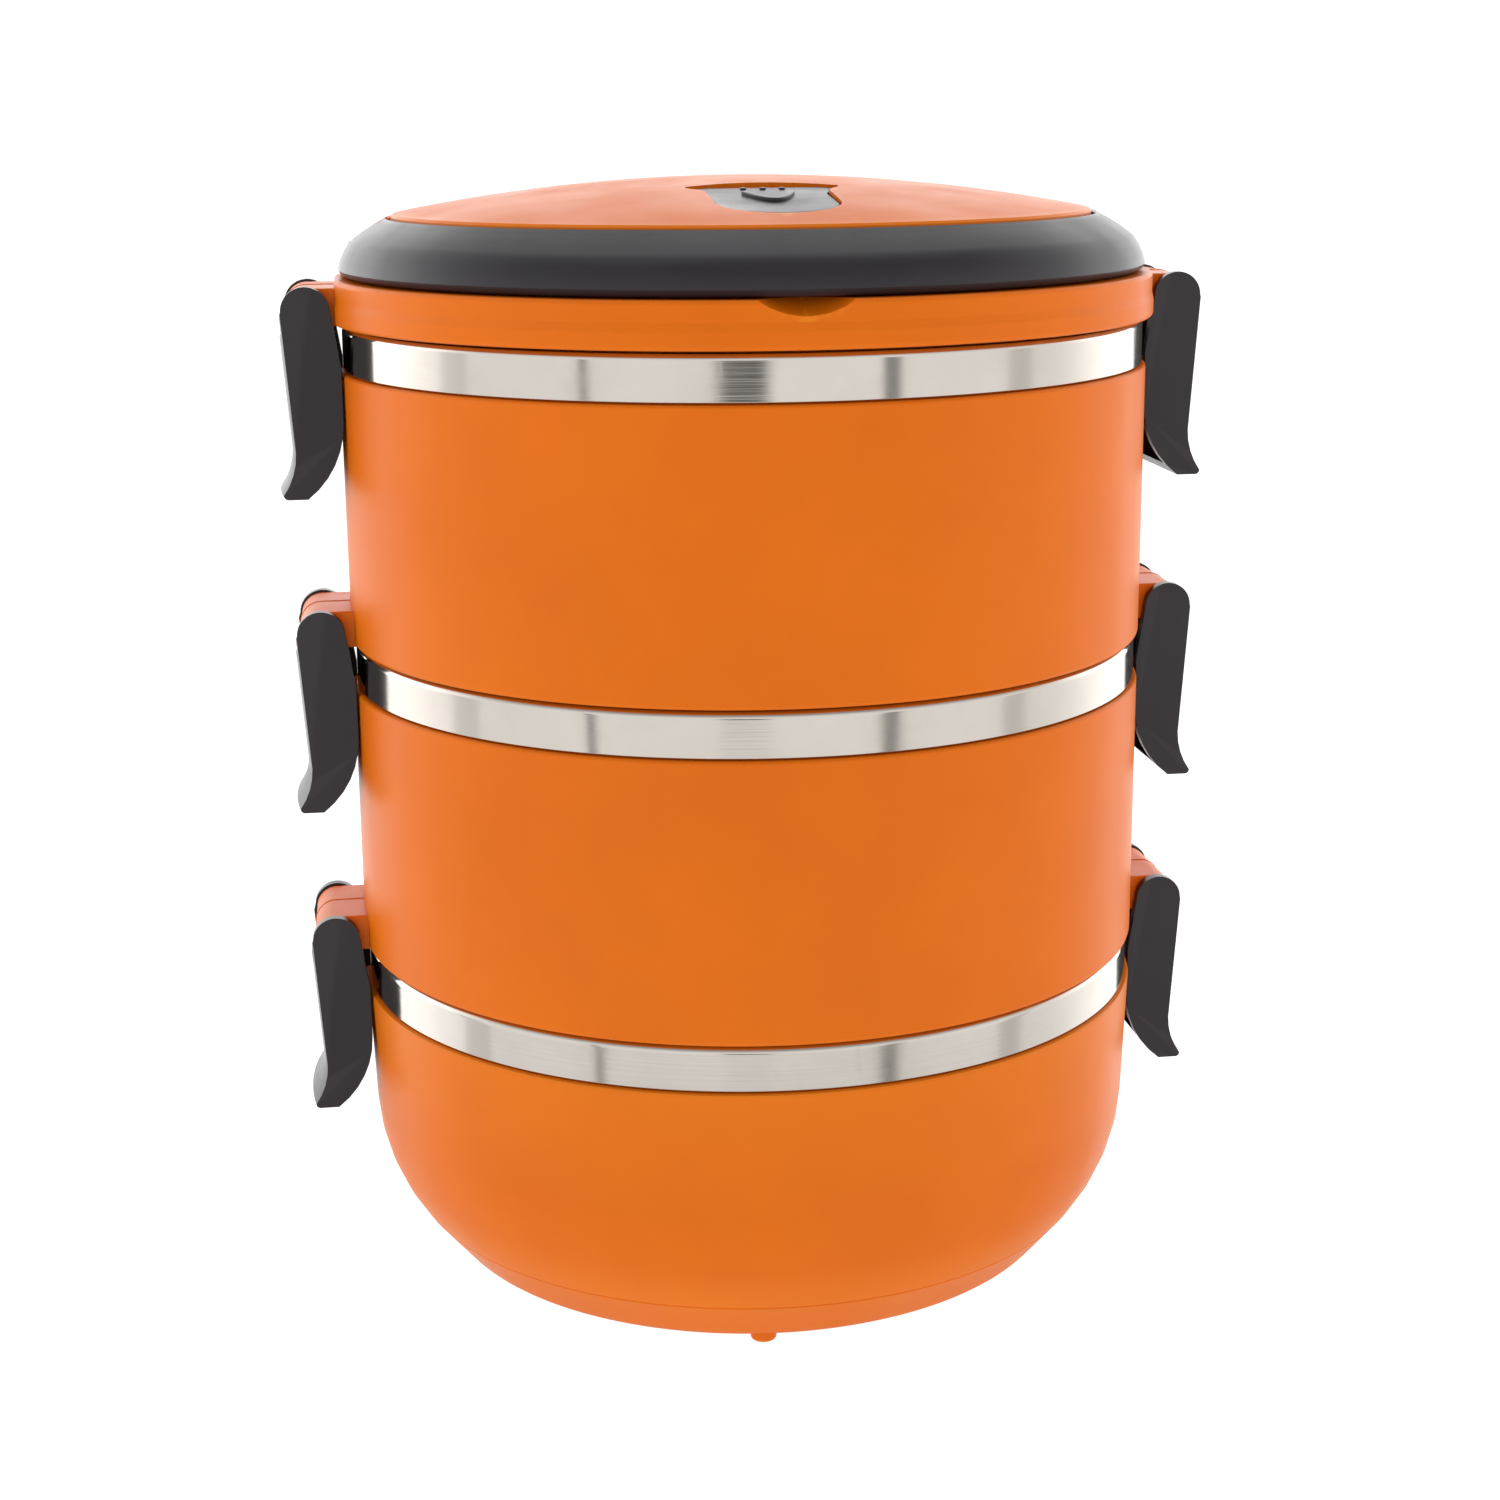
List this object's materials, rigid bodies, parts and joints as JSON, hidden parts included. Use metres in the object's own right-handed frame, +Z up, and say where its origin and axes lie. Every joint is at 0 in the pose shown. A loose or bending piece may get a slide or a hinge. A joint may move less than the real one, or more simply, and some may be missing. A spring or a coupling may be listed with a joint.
{
  "type": "tiffin carrier",
  "caption": "Round stacked lunch carrier: steel-lined plastic tiers, a domed lid with a folding half-ring handle and a vent flap, and hinged side latches.",
  "frame": {"origin": "middle of the footprint, at the plane the moulded feet stand on", "axes": "+Z up along the stack, -Y the front with the handle's bow and the vent flap, latches at +X and -X"},
  "size_m": [0.1664, 0.1462, 0.1986],
  "materials": {
    "orange_plastic": "satin moulded",
    "charcoal_plastic": "fine satin moulded",
    "liner_steel": "mirror polished",
    "pin_steel": "ground",
    "silicone": "smooth translucent white"
  },
  "bodies": {
    "base_tier": {"base_shell": "orange_plastic", "base_liner": "liner_steel"},
    "middle_tier": {"middle_shell": "orange_plastic", "middle_liner": "liner_steel", "middle_floor": "orange_plastic", "middle_gasket": "silicone"},
    "upper_tier": {"upper_shell": "orange_plastic", "upper_liner": "liner_steel", "upper_floor": "orange_plastic", "upper_gasket": "silicone"},
    "lid": {"lid_shell": "orange_plastic", "lid_plate": "orange_plastic", "lid_gasket": "silicone", "handle_pin_left": "pin_steel", "handle_pin_right": "pin_steel"},
    "carrying_handle": {"handle": "charcoal_plastic"},
    "vent": {"vent_flap": "charcoal_plastic", "vent_seal": "silicone"},
    "middle_clip_left": {"middle_latch_left": "charcoal_plastic"},
    "middle_clip_right": {"middle_latch_right": "charcoal_plastic"},
    "upper_clip_left": {"upper_latch_left": "charcoal_plastic"},
    "upper_clip_right": {"upper_latch_right": "charcoal_plastic"},
    "lid_clip_left": {"lid_latch_left": "charcoal_plastic"},
    "lid_clip_right": {"lid_latch_right": "charcoal_plastic"}
  },
  "joints": [
    {"name": "middle_lift", "type": "slide", "parent": "base_tier", "child": "middle_tier", "axis": [0, 0, 1], "range_m": [0, 0.06]},
    {"name": "upper_lift", "type": "slide", "parent": "middle_tier", "child": "upper_tier", "axis": [0, 0, 1], "range_m": [0, 0.06]},
    {"name": "lid_lift", "type": "slide", "parent": "upper_tier", "child": "lid", "axis": [0, 0, 1], "range_m": [0, 0.06]},
    {"name": "handle_swing", "type": "hinge", "parent": "lid", "child": "carrying_handle", "pos_m": [0, 0, 0.1867], "axis": [-1, 0, 0], "range_deg": [0, 95]},
    {"name": "vent_open", "type": "hinge", "parent": "lid", "child": "vent", "pos_m": [0, -0.02507, 0.19621], "axis": [-1, 0, 0], "range_deg": [0, 60]},
    {"name": "middle_left_unclip", "type": "hinge", "parent": "middle_tier", "child": "middle_clip_left", "pos_m": [-0.0772, 0, 0.0639], "axis": [0, 1, 0], "range_deg": [0, 120]},
    {"name": "middle_right_unclip", "type": "hinge", "parent": "middle_tier", "child": "middle_clip_right", "pos_m": [0.0772, 0, 0.0639], "axis": [0, -1, 0], "range_deg": [0, 120]},
    {"name": "upper_left_unclip", "type": "hinge", "parent": "upper_tier", "child": "upper_clip_left", "pos_m": [-0.0772, 0, 0.1204], "axis": [0, 1, 0], "range_deg": [0, 120]},
    {"name": "upper_right_unclip", "type": "hinge", "parent": "upper_tier", "child": "upper_clip_right", "pos_m": [0.0772, 0, 0.1204], "axis": [0, -1, 0], "range_deg": [0, 120]},
    {"name": "lid_left_unclip", "type": "hinge", "parent": "lid", "child": "lid_clip_left", "pos_m": [-0.0772, 0, 0.1769], "axis": [0, 1, 0], "range_deg": [0, 120]},
    {"name": "lid_right_unclip", "type": "hinge", "parent": "lid", "child": "lid_clip_right", "pos_m": [0.0772, 0, 0.1769], "axis": [0, -1, 0], "range_deg": [0, 120]}
  ]
}
